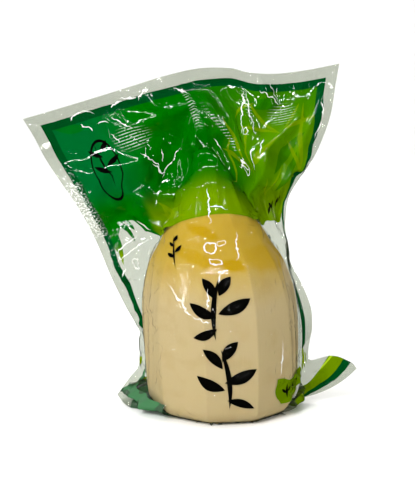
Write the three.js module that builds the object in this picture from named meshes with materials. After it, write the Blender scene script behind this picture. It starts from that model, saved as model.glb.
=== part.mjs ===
// A peeled winter bamboo shoot, sealed under vacuum in a clear film pouch and standing on its cut base.
// Three solids: the shoot, and the front and back films of the pouch, face to face outside the shoot.
// Millimetres, +Z up, +Y to the back. The origin is on the ground under the middle of the shoot's base.
import * as THREE from "three";

// ---- Driving dimensions -------------------------------------------------------------------------
const POUCH_LENGTH = 250; // flat pouch, bottom edge to top edge
const FILM = 0.6; // thickness of each film
const FILM_GAP = 0.3; // between the two films where they lie face to face
const SEAM = 0.6; // opening under the base between the bottom edges of the two films
const SEAM_PLACE = 4; // how far behind the middle of the base it runs

const SHOOT_HEIGHT = 141;
const TIP_LEAN = 9; // how far the tip leans to the left
const LEAN_POWER = 1.8; // the lean grows towards the tip
const FACET_DEPTH = 0.8; // 0 is a round section, 1 a section of flat knife cuts
// Height above the cut face, and radius over the ridges of the section.
const SHOOT_PROFILE = [
  [0, 35.8], [2.5, 39.8], [7, 42.3], [25, 43.4], [50, 44], [65, 42.9], [80, 38.8],
  [93, 31.8], [105, 24.6], [120, 16.6], [131, 10.2], [138, 5], [141, 1],
];
// Directions of the ridges between knife cuts, in degrees from the front, positive to the right.
const RIDGES = [-50, -12, 26, 58, 92, 128, 166, 204, 240, 275, 310];
const NODE_RINGS = [{ height: 87, width: 5, rise: 0.5 }, { height: 101, width: 4, rise: 0.4 }];
const TIP_ROUNDING = 0.4; // how far the middle of the tip stands over its last ring

const HALF_STACK = (FILM + FILM_GAP) / 2; // from the plane between the films to the middle of each film
const BASE_HEIGHT = FILM + FILM_GAP; // the shoot's cut face stands on the film
const UNDER_BASE = -FILM_GAP / 2; // height, from the cut face, of the plane of a film that lies on the ground

// How far the plane between the films stands off the shoot: everywhere, and more at the bevel of the base
// and over the tip, where the film makes a tent.
const STANDOFF = 0.5;
const BASE_STANDOFF = { extra: 1.3, upTo: 6 };
const TIP_STANDOFF = { extra: 1.1, from: 105, over: 30 };
const TENT_FROM = 138; // height from which the film closes to a point
const TENT_TOP = 146;
const FILM_FACET = 0.3; // the films bridge most of the depth of a knife cut

// The side edges of the pouch in space: [distance up the flat pouch, x, y, z]. The bottom corners stand
// out as ears, the edge turns in behind the shoot, and the top flares out to the full width.
const LEFT_EDGE = [
  [0, -59, 14, 4], [20, -56, 16, 12], [40, -51, 18, 22], [60, -49.5, 20, 30], [84, -51.5, 16, 43],
  [98, -56, 10, 55], [120, -63, 4, 73], [150, -71.5, 1, 95.5], [175, -80.4, -1, 113.6],
  [192, -89.3, 0, 127], [212, -98.2, 1, 140.7], [230, -104.2, 1, 152.7], [POUCH_LENGTH, -110, 0, 163],
];
const RIGHT_EDGE = [
  [0, 74, -4, 23], [22, 63, 0, 30], [42, 52, 8, 31], [62, 49.5, 15, 34], [84, 49.5, 18, 44],
  [98, 48.5, 19, 55], [112, 45, 19, 66.9], [130, 39.2, 16, 80.5], [148, 36, 10, 95.5],
  [162, 35.4, 7, 107.6], [176, 36.9, 4, 119.6], [190, 42.6, 2, 130.2], [204, 50, 0, 142],
  [216, 55.2, -1, 154.2], [229, 58.9, -1, 166.3], [241, 61.2, 0, 181.4], [POUCH_LENGTH, 63, 0, 193],
];
// The top edge: [share of the width from the left, x, y, z].
const TOP_EDGE = [
  [0, -110, 0, 163], [0.174, -80.4, 2, 171.6], [0.33, -53.8, -2, 179.8], [0.47, -30, 1, 187],
  [0.575, -12.3, 3, 190.6], [0.665, 4.1, -1, 190.6], [0.715, 12.9, -3, 188.5], [0.8, 27.8, 1, 187.6],
  [0.9, 45.6, 2, 189.6], [1, 63, 0, 193],
];
// Angle from the front at which the films meet beside the shoot: [distance up the flat pouch, left, right].
const FIN_ROOTS = [
  [0, 96, 96], [23, 102, 97], [46, 108, 100], [62, 114, 107], [84, 114, 112], [98, 106, 113], [120, 100, 111],
  [135, 97, 109], [150, 96, 104], [180, 94, 98], [206, 92, 94],
];
const ROOT_SPREAD = 20; // degrees between where a film leaves the shoot and where it meets the other film

const RIM = 46; // distance up the flat pouch at which a film comes out from under the base
const TIP = 206; // distance at which it passes over the tip
// Where the middle of a film is as it goes up the shoot: [distance up the flat pouch, height].
const CLIMB = [
  [RIM, UNDER_BASE], [49, 2.5], [54, 7], [73, 25.5], [98, 50.5], [113, 65.3], [129, 80], [144, 93],
  [158, 105], [175, 119.5], [187, 130], [197, 138.5], [TIP, TENT_TOP],
];
// On the shoulder a row of the film drops from the front to the side; near the base it climbs.
const ROW_DIP = { depth: 11, from: 55, grows: 45, fades: 22 };
const ROW_RISE = { height: 19, upTo: 60 };

// The grid of each film: its rows, as distances up the flat pouch, and its columns each side of the middle.
const ROWS = [
  ...spread(0, RIM, 6), RIM, 49, ...spread(54, 128, 9), ...spread(128, TIP, 13),
  ...spread(TIP, POUCH_LENGTH, 6), POUCH_LENGTH,
];
const HALF_COLUMNS = 17;
// How many of those lie on the shoot, the rest being on the fin: [distance up the flat pouch, columns].
const COLUMNS_ON_SHOOT = [[0, 12], [128, 12], [TIP, 0]];
const PATH_STEPS = 40;

const SHOOT_LEVELS = [
  0, 2.5, 7, 16, 27, 38, 50, 58, 66, 73, 79, 84, 87, 91, 96, 101, 105, 111, 117, 123, 128, 133, 137, 140, 141,
];
const CUTS_PER_FACET = 4;

// ---- Small helpers ------------------------------------------------------------------------------
function spread(from, to, count) {
  return Array.from({ length: count }, (_, i) => mix(from, to, i / count));
}

function mix(a, b, share) {
  return a + (b - a) * share;
}

const clamp01 = (value) => Math.min(1, Math.max(0, value));
const smooth = (value) => clamp01(value) ** 2 * (3 - 2 * clamp01(value));
const radians = (degrees) => (degrees * Math.PI) / 180;

// A smooth curve through knots of [place, value, value, ...], read at any place.
function through(knots, place, column = 1) {
  const last = knots.length - 1;
  if (place <= knots[0][0]) return knots[0][column];
  if (place >= knots[last][0]) return knots[last][column];
  const i = knots.findIndex((knot) => knot[0] > place) - 1;
  const slope = (k) => {
    const before = knots[Math.max(0, k - 1)];
    const after = knots[Math.min(last, k + 1)];
    return (after[column] - before[column]) / (after[0] - before[0]);
  };
  const span = knots[i + 1][0] - knots[i][0];
  const s = (place - knots[i][0]) / span;
  const [start, end] = [knots[i][column], knots[i + 1][column]];
  const [leaving, arriving] = [slope(i) * span, slope(i + 1) * span];
  return start + s * (leaving + s * (3 * (end - start) - 2 * leaving - arriving +
    s * (leaving + arriving - 2 * (end - start))));
}

function throughPoint(knots, place) {
  return new THREE.Vector3(through(knots, place, 1), through(knots, place, 2), through(knots, place, 3));
}

// Points at even distances along a polyline, its ends included.
function evenly(points, count) {
  const lengths = [0];
  points.slice(1).forEach((point, i) => lengths.push(lengths[i] + point.distanceTo(points[i])));
  const total = lengths[lengths.length - 1];
  return Array.from({ length: count + 1 }, (_, k) => {
    const place = (total * k) / count;
    const found = lengths.findIndex((length) => length >= place);
    const i = found < 0 ? lengths.length - 1 : Math.max(1, found);
    const share = (place - lengths[i - 1]) / (lengths[i] - lengths[i - 1]);
    return points[i - 1].clone().lerp(points[i], clamp01(share));
  });
}

function meshGeometry(vertices, faces) {
  const geometry = new THREE.BufferGeometry();
  const numbers = vertices.flatMap((vertex) => vertex.toArray());
  geometry.setAttribute("position", new THREE.Float32BufferAttribute(numbers, 3));
  geometry.setIndex(faces.flat());
  geometry.computeVertexNormals();
  return geometry;
}

// ---- The shoot ----------------------------------------------------------------------------------
const shootCentre = (height) => -TIP_LEAN * clamp01(height / SHOOT_HEIGHT) ** LEAN_POWER;

// Radius towards an angle from the front (degrees, positive to the right) of a section that is round at
// depth 0 and cut flat between the ridges at depth 1.
function sectionRadius(angle, height, depth) {
  const turned = ((angle - RIDGES[0]) % 360 + 360) % 360 + RIDGES[0];
  const k = RIDGES.findIndex((ridge, i) => i > 0 && turned <= ridge);
  const [from, to] = [RIDGES[k - 1], RIDGES[k]];
  const flat = Math.cos(radians((to - from) / 2)) / Math.cos(radians(turned - (from + to) / 2));
  const cut = through(SHOOT_PROFILE, height) * mix(1, flat, depth);
  const rings = NODE_RINGS.map((ring) => ring.rise * Math.exp(-(((height - ring.height) / ring.width) ** 2)));
  return cut + rings.reduce((total, rise) => total + rise);
}

// A point at a height and radius over the cut face, towards an angle from the front.
function around(angle, height, radius) {
  return new THREE.Vector3(
    shootCentre(height) + radius * Math.sin(radians(angle)),
    -radius * Math.cos(radians(angle)),
    BASE_HEIGHT + height,
  );
}

function shootGeometry() {
  const angles = RIDGES.slice(1).flatMap((to, k) => spread(RIDGES[k], to, CUTS_PER_FACET));
  const vertices = SHOOT_LEVELS.flatMap((height) =>
    angles.map((angle) => around(angle, height, sectionRadius(angle, height, FACET_DEPTH))));
  const foot = vertices.push(around(0, 0, 0)) - 1;
  const tip = vertices.push(around(0, SHOOT_HEIGHT + TIP_ROUNDING, 0)) - 1;
  const faces = [];
  const count = angles.length;
  const lastRing = (SHOOT_LEVELS.length - 1) * count;
  for (let i = 0; i < count; i++) {
    const next = (i + 1) % count;
    for (let ring = 0; ring < lastRing; ring += count) {
      const [a, b] = [ring + i, ring + next];
      faces.push([a, b, b + count], [a, b + count, a + count]);
    }
    faces.push([foot, next, i], [tip, lastRing + i, lastRing + next]);
  }
  return meshGeometry(vertices, faces);
}

// ---- The pouch ----------------------------------------------------------------------------------
// Radius of the plane between the films where it is drawn onto the shoot.
function filmRadius(angle, height) {
  const atBase = BASE_STANDOFF.extra * smooth(1 - height / BASE_STANDOFF.upTo);
  const atTip = TIP_STANDOFF.extra * smooth((height - TIP_STANDOFF.from) / TIP_STANDOFF.over);
  const section = sectionRadius(angle, Math.min(height, TENT_FROM), FILM_FACET);
  const closing = clamp01((height - TENT_FROM) / (TENT_TOP - TENT_FROM));
  return (section + STANDOFF + atBase + atTip) * (1 - closing);
}

// Half a row of one film, from its front (or back) middle to the side edge of the pouch.
// face is -1 for the front film and 1 for the back film; hand is -1 for the left half and 1 for the right.
function halfRow(distance, face, hand) {
  const facing = (angle) => (face < 0 ? hand * angle : 180 - hand * angle);
  const share = Math.min(1, distance / RIM);
  const middle = distance < RIM ? UNDER_BASE : through(CLIMB, distance);
  const dip = ROW_DIP.depth * smooth((middle - ROW_DIP.from) / ROW_DIP.grows) *
    smooth((TENT_TOP - middle) / ROW_DIP.fades);
  const rise = ROW_RISE.height * share * (1 - smooth(middle / ROW_RISE.upTo));

  const meeting = through(FIN_ROOTS, distance, hand < 0 ? 1 : 2);
  const root = face < 0 ? meeting : 180 - meeting;
  const leaves = root - ROOT_SPREAD; // from this angle on the film is straight, off the shoot
  const rim = filmRadius(facing(0), UNDER_BASE);
  const reach = mix(face * SEAM_PLACE + SEAM / 2, rim, share); // under the base a row is a chord this far out
  const corner = Math.acos(reach / rim) / radians(1); // and meets the rim at this angle

  const path = corner > 0 ? [new THREE.Vector3(0, face * reach, BASE_HEIGHT + UNDER_BASE)] : [];
  for (let i = 0; i <= PATH_STEPS; i++) {
    const step = i / PATH_STEPS;
    const angle = mix(corner, root, step);
    const height = middle - dip * (angle / 90) ** 2 + rise * step ** 2;
    const offShoot = angle > leaves ? 1 / Math.cos(radians(angle - leaves)) : 1;
    const point = around(facing(angle), height, filmRadius(facing(angle), height) * offShoot);
    if (distance === 0) point.y = SEAM_PLACE + face * (SEAM / 2) * (1 - step);
    path.push(point);
  }
  const edge = throughPoint(hand < 0 ? LEFT_EDGE : RIGHT_EDGE, distance);
  const onShoot = Math.round(through(COLUMNS_ON_SHOOT, distance));
  const fin = evenly([path[path.length - 1], edge], HALF_COLUMNS - onShoot);
  return onShoot ? [...evenly(path, onShoot), ...fin.slice(1)] : fin;
}

// A row above the tip, where the two films lie together: between the row over the tip and the top edge.
function panelRow(distance, face) {
  const share = (distance - TIP) / (POUCH_LENGTH - TIP);
  const low = filmRow(TIP, face);
  const between = (k) => low[k].clone().lerp(throughPoint(TOP_EDGE, k / (low.length - 1)), share);
  const pullLeft = throughPoint(LEFT_EDGE, distance).sub(between(0));
  const pullRight = throughPoint(RIGHT_EDGE, distance).sub(between(low.length - 1));
  return low.map((_, k) => {
    const across = k / (low.length - 1);
    return between(k).addScaledVector(pullLeft, (1 - across) ** 2).addScaledVector(pullRight, across ** 2);
  });
}

function filmRow(distance, face) {
  if (distance > TIP) return panelRow(distance, face);
  return [...halfRow(distance, face, -1).reverse(), ...halfRow(distance, face, 1).slice(1)];
}

function filmGeometry(face) {
  const rows = ROWS.map((distance) => filmRow(distance, face));
  const width = rows[0].length;
  const height = rows.length;
  const at = (i, j) => rows[Math.min(height - 1, Math.max(0, j))][Math.min(width - 1, Math.max(0, i))];
  const outward = (i, j) => {
    const across = at(i + 1, j).clone().sub(at(i - 1, j));
    const up = at(i, j + 1).clone().sub(at(i, j - 1));
    return across.cross(up).normalize().multiplyScalar(-face);
  };
  const vertices = [];
  for (const offset of [HALF_STACK + FILM / 2, HALF_STACK - FILM / 2]) {
    for (let j = 0; j < height; j++) {
      for (let i = 0; i < width; i++) vertices.push(at(i, j).clone().addScaledVector(outward(i, j), offset));
    }
  }

  const faces = [];
  const inner = width * height;
  const triangle = (a, b, c) => faces.push(face < 0 ? [a, b, c] : [a, c, b]);
  const quad = (a, b, c, d) => {
    triangle(a, b, c);
    triangle(a, c, d);
  };
  for (let j = 0; j + 1 < height; j++) {
    for (let i = 0; i + 1 < width; i++) {
      const [a, b] = [j * width + i, j * width + i + 1];
      const [c, d] = [b + width, a + width];
      // The diagonals lean towards the middle going up, as the roots of the fins do.
      if (i < HALF_COLUMNS) {
        quad(a, b, c, d);
        quad(inner + a, inner + d, inner + c, inner + b);
      } else {
        quad(b, c, d, a);
        quad(inner + b, inner + a, inner + d, inner + c);
      }
    }
  }
  const topRow = (height - 1) * width;
  for (let i = 0; i + 1 < width; i++) {
    quad(i, inner + i, inner + i + 1, i + 1);
    quad(topRow + i, topRow + i + 1, inner + topRow + i + 1, inner + topRow + i);
  }
  for (let left = 0; left < topRow; left += width) {
    const right = left + width - 1;
    quad(left, left + width, inner + left + width, inner + left);
    quad(right, inner + right, inner + right + width, right + width);
  }
  return meshGeometry(vertices, faces);
}

// ---- The assembly -------------------------------------------------------------------------------
const flesh = new THREE.MeshStandardMaterial({ color: 0xd9bf88, roughness: 0.45, metalness: 0 });
const printedFilm = new THREE.MeshStandardMaterial({
  color: 0x1f8a2a, roughness: 0.15, metalness: 0, transparent: true, opacity: 0.5,
});
const clearFilm = new THREE.MeshStandardMaterial({
  color: 0xd8dcd2, roughness: 0.15, metalness: 0, transparent: true, opacity: 0.3,
});

const packedShoot = new THREE.Group();

function addPiece(name, geometry, material) {
  const mesh = new THREE.Mesh(geometry, material);
  mesh.name = name;
  packedShoot.add(mesh);
}

addPiece("shoot", shootGeometry(), flesh);
addPiece("film_front", filmGeometry(-1), printedFilm);
addPiece("film_back", filmGeometry(1), clearFilm);

export default packedShoot;
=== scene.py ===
# %% [markdown]
# # A vacuum-packed bamboo shoot
# The real thing is a peeled winter bamboo shoot, knife-trimmed to flat facets, sealed in a printed plastic
# pouch. The air is drawn out, so the film clings to the flesh and crumples wherever it has nothing to hold.
# Three pieces are made here: the shoot, the front film and the back film. Everything is worked out in
# millimetres, like the source solids, and is turned to metres when a mesh is made.

# %% Setup
import bpy
import numpy as np
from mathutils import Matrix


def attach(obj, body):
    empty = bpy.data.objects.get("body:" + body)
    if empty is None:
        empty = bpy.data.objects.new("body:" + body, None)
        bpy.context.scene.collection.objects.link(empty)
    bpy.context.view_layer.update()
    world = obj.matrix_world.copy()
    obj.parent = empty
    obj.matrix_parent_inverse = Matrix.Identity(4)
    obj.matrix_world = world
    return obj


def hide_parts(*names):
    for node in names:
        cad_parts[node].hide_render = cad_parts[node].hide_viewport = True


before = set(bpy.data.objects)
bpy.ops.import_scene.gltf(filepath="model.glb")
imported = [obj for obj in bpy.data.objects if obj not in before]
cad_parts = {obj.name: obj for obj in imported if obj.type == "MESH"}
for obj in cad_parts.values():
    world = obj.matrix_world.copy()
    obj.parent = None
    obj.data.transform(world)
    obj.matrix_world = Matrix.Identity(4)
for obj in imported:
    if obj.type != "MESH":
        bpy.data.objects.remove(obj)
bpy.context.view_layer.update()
MM = 0.001


# %% Colour and node helpers
def linear(code):
    """An sRGB hex colour such as "d8be8c" as linear RGBA."""
    parts = [int(code[k:k + 2], 16) / 255 for k in (0, 2, 4)]
    line = [c / 12.92 if c <= 0.04045 else ((c + 0.055) / 1.055) ** 2.4 for c in parts]
    return (*line, 1.0)


def node(tree, kind, *inputs, **settings):
    """Adds one shader node with its settings, and feeds its inputs in order, or by name from one dict.

    The kind may end in its operation, such as Math.ADD. An input is a number, a colour code, a socket, or a
    node, which stands for its first output in use."""
    kind, _, operation = kind.partition(".")
    made = tree.nodes.new("ShaderNode" + kind)
    if operation:
        made.operation = operation
    for key, value in settings.items():
        setattr(made, key, value)
    in_use = [socket for socket in made.inputs if socket.enabled]
    by_name = len(inputs) == 1 and isinstance(inputs[0], dict)
    for key, value in inputs[0].items() if by_name else enumerate(inputs):
        socket = made.inputs[key] if by_name else in_use[key]
        if isinstance(value, bpy.types.Node):
            value = next(output for output in value.outputs if output.enabled)
        if isinstance(value, bpy.types.NodeSocket):
            tree.links.new(value, socket)
        else:
            socket.default_value = linear(value) if isinstance(value, str) else value
    return made


# Settings that many nodes share: a soft step, and mixing colours rather than numbers.
SMOOTH = {"interpolation_type": "SMOOTHSTEP"}
COLOUR = {"data_type": "RGBA"}

# %% [markdown]
# ## Camera and stage
# A small object on a white table is shot with a short telephoto lens from a little above. The floor sweeps up
# into a wall behind, so no horizon shows. It is one bent strip, and glossy rays don't see it, because a
# white floor mirrored in the film would wash out the print.

# %% Camera, in metres and degrees
EYE_DISTANCE = 0.600
EYE_HEIGHT_ANGLE = 10.0
AIM = np.array([-0.0087, 0.0, 0.0956])
# How much height the view takes in at the object
FRAME_HEIGHT = 0.2688
SENSOR = 24.0

lens = bpy.data.cameras.new("camera")
lens.sensor_fit = "VERTICAL"
lens.sensor_height = SENSOR
lens.lens = SENSOR * EYE_DISTANCE / FRAME_HEIGHT
lens.clip_start = 0.01
camera = bpy.data.objects.new("camera", lens)
tilt = np.radians(EYE_HEIGHT_ANGLE)
camera.location = AIM + EYE_DISTANCE * np.array([0.0, -np.cos(tilt), np.sin(tilt)])
camera.rotation_euler = (np.pi / 2 - tilt, 0.0, 0.0)
bpy.context.collection.objects.link(camera)
bpy.context.scene.camera = camera
print("camera lens", round(lens.lens, 1), "mm")


# %% Mesh helper
def new_piece(name, points, faces, uvs=None):
    """A mesh object from points in millimetres; uvs holds one pair for each point."""
    mesh = bpy.data.meshes.new(name)
    mesh.from_pydata((np.asarray(points) * MM).tolist(), [], faces)
    mesh.polygons.foreach_set("use_smooth", [True] * len(mesh.polygons))
    if uvs is not None:
        corners = np.empty(len(mesh.loops), dtype=np.int32)
        mesh.loops.foreach_get("vertex_index", corners)
        mesh.uv_layers.new(name="flat").data.foreach_set("uv", np.asarray(uvs)[corners].ravel())
    made = bpy.data.objects.new(name, mesh)
    bpy.context.collection.objects.link(made)
    print(name, len(mesh.vertices), "points", len(mesh.polygons), "faces")
    return made


# %% Floor that sweeps up into a wall
SWEEP_HALF = 3000.0
SWEEP_NEAR = -3000.0
SWEEP_START = 1600.0
SWEEP_RADIUS = 900.0
WALL_TOP = 3500.0
turn = np.radians(np.linspace(0, 90, 25))
sweep_y = np.r_[SWEEP_NEAR, SWEEP_START, SWEEP_START + SWEEP_RADIUS * np.sin(turn[1:])]
sweep_z = np.r_[0.0, 0.0, SWEEP_RADIUS * (1 - np.cos(turn[1:]))]
sweep_y = np.r_[sweep_y, sweep_y[-1]]
sweep_z = np.r_[sweep_z, WALL_TOP]
sweep = [(x, y, z) for y, z in zip(sweep_y, sweep_z) for x in (-SWEEP_HALF, SWEEP_HALF)]
strips = [(2 * k, 2 * k + 1, 2 * k + 3, 2 * k + 2) for k in range(len(sweep_y) - 1)]
floor = new_piece("studio_floor", sweep, strips)
floor.visible_glossy = False

# %% Backdrop paper, matt
paper = bpy.data.materials.new("white_backdrop_paper")
paper.use_nodes = True
paper_tree = paper.node_tree
paper_tree.nodes.clear()
paper_surface = node(paper_tree, "BsdfPrincipled", {"Base Color": "f7f7f5", "Roughness": 0.9})
node(paper_tree, "OutputMaterial", paper_surface)
floor.data.materials.append(paper)
print("paper nodes:", len(paper_tree.nodes))


# %% [markdown]
# ## Light
# Clear film is drawn by its reflections, so two kinds of light are kept apart. Broad soft panels shape the
# flesh and are hidden from glossy rays, or they would lie as grey veils on the film. Thin bright strips are
# hidden from matt surfaces and show only as sharp glints along the creases. A pale card behind shows only in
# reflections too, and whitens the film where it turns away. The white world fills the shadows.

# %% Light values: place and size in metres, power in watts
BROAD_PANELS = [
    ("soft_key", (-0.72, -1.10, 1.00), (0.5, 0.5), 22.0),
    ("soft_fill", (0.15, -1.50, 0.50), (0.8, 0.8), 1.8),
    ("soft_top", (0.0, 0.25, 1.6), (1.4, 1.4), 10.0),
    ("wall_wash", (0.0, 1.1, 1.9), (1.6, 1.6), 9.0)]
GLINT_STRIPS = [
    ("strip_above", (-0.20, -1.10, 0.86), (1.4, 0.035), 46.0),
    ("strip_left", (-1.05, -0.62, 0.50), (0.02, 0.9), 5.0),
    ("strip_right", (0.95, -0.70, 0.55), (0.02, 0.9), 14.0),
    ("strip_behind", (0.40, 0.90, 1.00), (0.50, 0.05), 26.0)]
AIM_AT = {"wall_wash": (0.0, 2.6, 0.7)}
OBJECT_MIDDLE = (0.0, 0.0, 0.09)
WORLD_STRENGTH = 0.70


# %% Lights
def panel_light(name, place, size, power):
    """A flat light, turned towards the object unless it has its own aim."""
    lamp = bpy.data.lights.new(name, "AREA")
    lamp.shape = "RECTANGLE"
    lamp.size, lamp.size_y = size
    lamp.energy = power
    made = bpy.data.objects.new(name, lamp)
    made.location = place
    away = np.array(place) - np.array(AIM_AT.get(name, OBJECT_MIDDLE))
    flat = np.hypot(away[0], away[1])
    made.rotation_euler = (np.arctan2(flat, away[2]), 0.0, np.arctan2(away[0], -away[1]))
    bpy.context.collection.objects.link(made)
    return made


for row in BROAD_PANELS:
    panel_light(*row).visible_glossy = False
for row in GLINT_STRIPS:
    panel_light(*row).visible_diffuse = False
card = panel_light("pale_card", (0.0, 1.3, 0.45), (3.2, 1.1), 6.0)
card.visible_diffuse = False
card.visible_camera = False
print("lights:", len(BROAD_PANELS), "broad,", len(GLINT_STRIPS), "strips, one card")

# %% World, colour and light paths
world = bpy.data.worlds.new("studio")
world.use_nodes = True
world.node_tree.nodes["Background"].inputs["Color"].default_value = linear("ffffff")
world.node_tree.nodes["Background"].inputs["Strength"].default_value = WORLD_STRENGTH
bpy.context.scene.world = world
world.cycles_visibility.glossy = False
bpy.context.scene.view_settings.view_transform = "Standard"
bpy.context.scene.cycles.transparent_max_bounces = 24
bpy.context.scene.cycles.caustics_reflective = False
print("world strength", WORLD_STRENGTH)

# %% [markdown]
# ## Sizes of the shoot
# These are the same driving numbers as in the solid model: a profile of radius against height, the
# angles of the knife-cut ridges, and two node rings. One smooth curve through a list of knots serves
# for every profile and edge below.

# %% Curve through knots
def through(knots, place, column=1):
    """Smooth curve through rows of (place, value, ...), held level beyond both ends."""
    rows = np.asarray(knots, dtype=float)
    x = rows[:, 0]
    y = rows[:, column]
    place = np.clip(place, x[0], x[-1])
    slope = np.empty(len(x))
    slope[1:-1] = (y[2:] - y[:-2]) / (x[2:] - x[:-2])
    slope[0] = (y[1] - y[0]) / (x[1] - x[0])
    slope[-1] = (y[-1] - y[-2]) / (x[-1] - x[-2])
    k = np.clip(np.searchsorted(x, place, side="right") - 1, 0, len(x) - 2)
    span = x[k + 1] - x[k]
    a = (place - x[k]) / span
    rise = y[k + 1] - y[k]
    out = slope[k] * span
    back = slope[k + 1] * span
    return y[k] + a * (out + a * (3 * rise - 2 * out - back + a * (out + back - 2 * rise)))


def smooth(value):
    """A soft step from 0 to 1."""
    value = np.clip(value, 0, 1)
    return value * value * (3 - 2 * value)


# %% Shoot measures
SHOOT_HEIGHT = 141.0
TIP_LEAN = 9.0
LEAN_POWER = 1.8
# How flat the facets are, and the heights between which they get half as flat
FACET_DEPTH = 0.8
FADE_FROM, FADE_REACH = 70, 30
BASE = 0.9
SHOOT_PROFILE = [
    [0, 35.8], [2.5, 39.8], [7, 42.3], [25, 43.4], [50, 44], [65, 42.9], [80, 38.8],
    [93, 31.8], [105, 24.6], [120, 16.6], [131, 10.2], [138, 5], [141, 1]]
RIDGES = np.array([-50, -12, 26, 58, 92, 128, 166, 204, 240, 275, 310.0])
NODE_RINGS = [(87, 5, 0.5), (101, 4, 0.4)]


def lean(height):
    """How far the leaning axis has moved sideways at a height."""
    return -TIP_LEAN * np.clip(height / SHOOT_HEIGHT, 0, 1) ** LEAN_POWER


def section(angle, height, less=0.0):
    """Radius at an angle (degrees from the front) and height; less makes the facets shallower."""
    depth = FACET_DEPTH * (1 - 0.5 * smooth((height - FADE_FROM) / FADE_REACH)) - less
    turned = (angle - RIDGES[0]) % 360 + RIDGES[0]
    k = np.clip(np.searchsorted(RIDGES, turned, side="left"), 1, len(RIDGES) - 1)
    half = np.radians((RIDGES[k] - RIDGES[k - 1]) / 2)
    off = np.radians(turned - (RIDGES[k] + RIDGES[k - 1]) / 2)
    radius = through(SHOOT_PROFILE, height) * (1 + (np.cos(half) / np.cos(off) - 1) * depth)
    for middle, width, rise in NODE_RINGS:
        radius = radius + rise * np.exp(-((height - middle) / width) ** 2)
    return radius


def around(angle, height, radius):
    """A point at an angle from the front, on the leaning axis."""
    turn = np.radians(angle)
    return np.stack([lean(height) + radius * np.sin(turn), -radius * np.cos(turn), BASE + height], -1)


print("widest radius", section(0.0, 50.0))

# %% Shoot mesh
SHOOT_COLUMNS = 360
SHOOT_ROWS = 141
TIP_POINT = 0.4
angles = np.linspace(0, 360, SHOOT_COLUMNS, endpoint=False)
heights = np.linspace(0, SHOOT_HEIGHT, SHOOT_ROWS + 1)
turned, raised = np.meshgrid(angles, heights)
skin = around(turned, raised, section(turned, raised))
points = skin.reshape(-1, 3).tolist()
faces = []
for row in range(SHOOT_ROWS):
    for column in range(SHOOT_COLUMNS):
        a = row * SHOOT_COLUMNS + column
        b = row * SHOOT_COLUMNS + (column + 1) % SHOOT_COLUMNS
        faces.append((a, b, b + SHOOT_COLUMNS, a + SHOOT_COLUMNS))
points.append([0.0, 0.0, BASE])
points.append([lean(SHOOT_HEIGHT), 0.0, BASE + SHOOT_HEIGHT + TIP_POINT])
for column in range(SHOOT_COLUMNS):
    after = (column + 1) % SHOOT_COLUMNS
    faces.append((len(points) - 2, after, column))
    top = SHOOT_ROWS * SHOOT_COLUMNS
    faces.append((len(points) - 1, top + column, top + after))
shoot = new_piece("peeled_shoot", points, faces)
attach(shoot, "root")
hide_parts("shoot")
print("shoot box in mm:", np.round(skin.min(axis=(0, 1)), 1), np.round(skin.max(axis=(0, 1)), 1))

# %% [markdown]
# ## The pouch, flat and filled
# The pouch was cut as two flat sheets, 180 mm wide and 250 mm long, and sealed along its edges. Each film is
# a grid in flat sheet coordinates: s runs across from the middle, t runs up from the bottom. A first shape is
# laid by rule: on the shoot a row hugs the flesh as far as its root, and from there both films run together,
# welded, to the edge of the fin. Lists of knots give the fin edges, the roots and the climb up the flesh.

# %% Pouch measures
HALF_WIDTH = 90.0
LENGTH = 250.0
STEP = 1.25
COLUMNS = int(2 * HALF_WIDTH / STEP) + 1
HALF_COLUMNS = (COLUMNS - 1) // 2
ROWS = int(LENGTH / STEP) + 1
ACROSS = np.linspace(-HALF_WIDTH, HALF_WIDTH, COLUMNS)
ALONG = np.linspace(0, LENGTH, ROWS)
# The t at which film turns up the side, the t at which it leaves the tip, and the height where the films meet
RIM, TIP, TENT = 46.0, 206.0, 146.0
# Where the bottom edges meet under the base, half the gap between them, and how far film lies off the flesh
SEAM_PLACE, SEAM_HALF, CLING = 4.0, 0.3, 0.2
# Height of the film under the base, and how many points a row takes round the flesh
FILM_FOOT = -0.15
PATH_POINTS = 80
print("each film is a grid of", ROWS, "by", COLUMNS)

# %% Where the fins end: rows of t, x, y, z
LEFT_EDGE = [
    [0, -61, 6, 3.6], [10, -56.5, 10, 9], [20, -53.5, 13, 12.5], [32, -50.8, 16, 15], [45, -49.2, 18, 18],
    [65, -48.6, 19, 24], [90, -49, 18, 33], [102, -48.2, 17, 37.5], [116, -50.5, 15, 43.5],
    [128.5, -55.5, 9, 54.9], [148, -63, 4, 73], [172.2, -71.5, 1, 95.5], [192.4, -80.4, -1, 113.6],
    [208.4, -89.3, 0, 127], [224.7, -98.2, 1, 140.7], [238, -104.2, 1, 152.7], [250, -110, 0, 163]]
RIGHT_EDGE = [
    [0, 76, -4, 22.2], [6, 73.7, -3.5, 25.1], [13, 69.7, -3, 27.1], [20, 65.7, -2, 28.6],
    [28, 60.5, -1, 28.8], [36, 55.5, 1, 26.8], [45, 50.5, 5, 24.5], [60, 49.4, 7, 29],
    [75, 50.4, 7, 36.5], [93, 51.4, 7, 44.4], [104, 50.6, 8, 54.9], [117, 46, 11, 66.9],
    [131.6, 39, 16, 80.5], [147, 36, 10, 95.5],
    [159, 35.4, 7, 107.6], [171, 36.9, 4, 119.6], [183, 42.6, 2, 130.2], [197, 50, 0, 142],
    [210, 55.2, -1, 154.2], [223, 58.9, -1, 166.3], [238, 61.2, 0, 181.4], [250, 63, 0, 193]]
TOP_EDGE = [
    [0, -110, 0, 163], [0.174, -80.4, 2, 171.6], [0.33, -53.8, -2, 179.8], [0.47, -30, 1, 187],
    [0.575, -12.3, 3, 190.6], [0.665, 4.1, -1, 190.6], [0.715, 12.9, -3, 188.5], [0.8, 27.8, 1, 187.6],
    [0.9, 45.6, 2, 189.6], [1, 63, 0, 193]]

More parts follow.
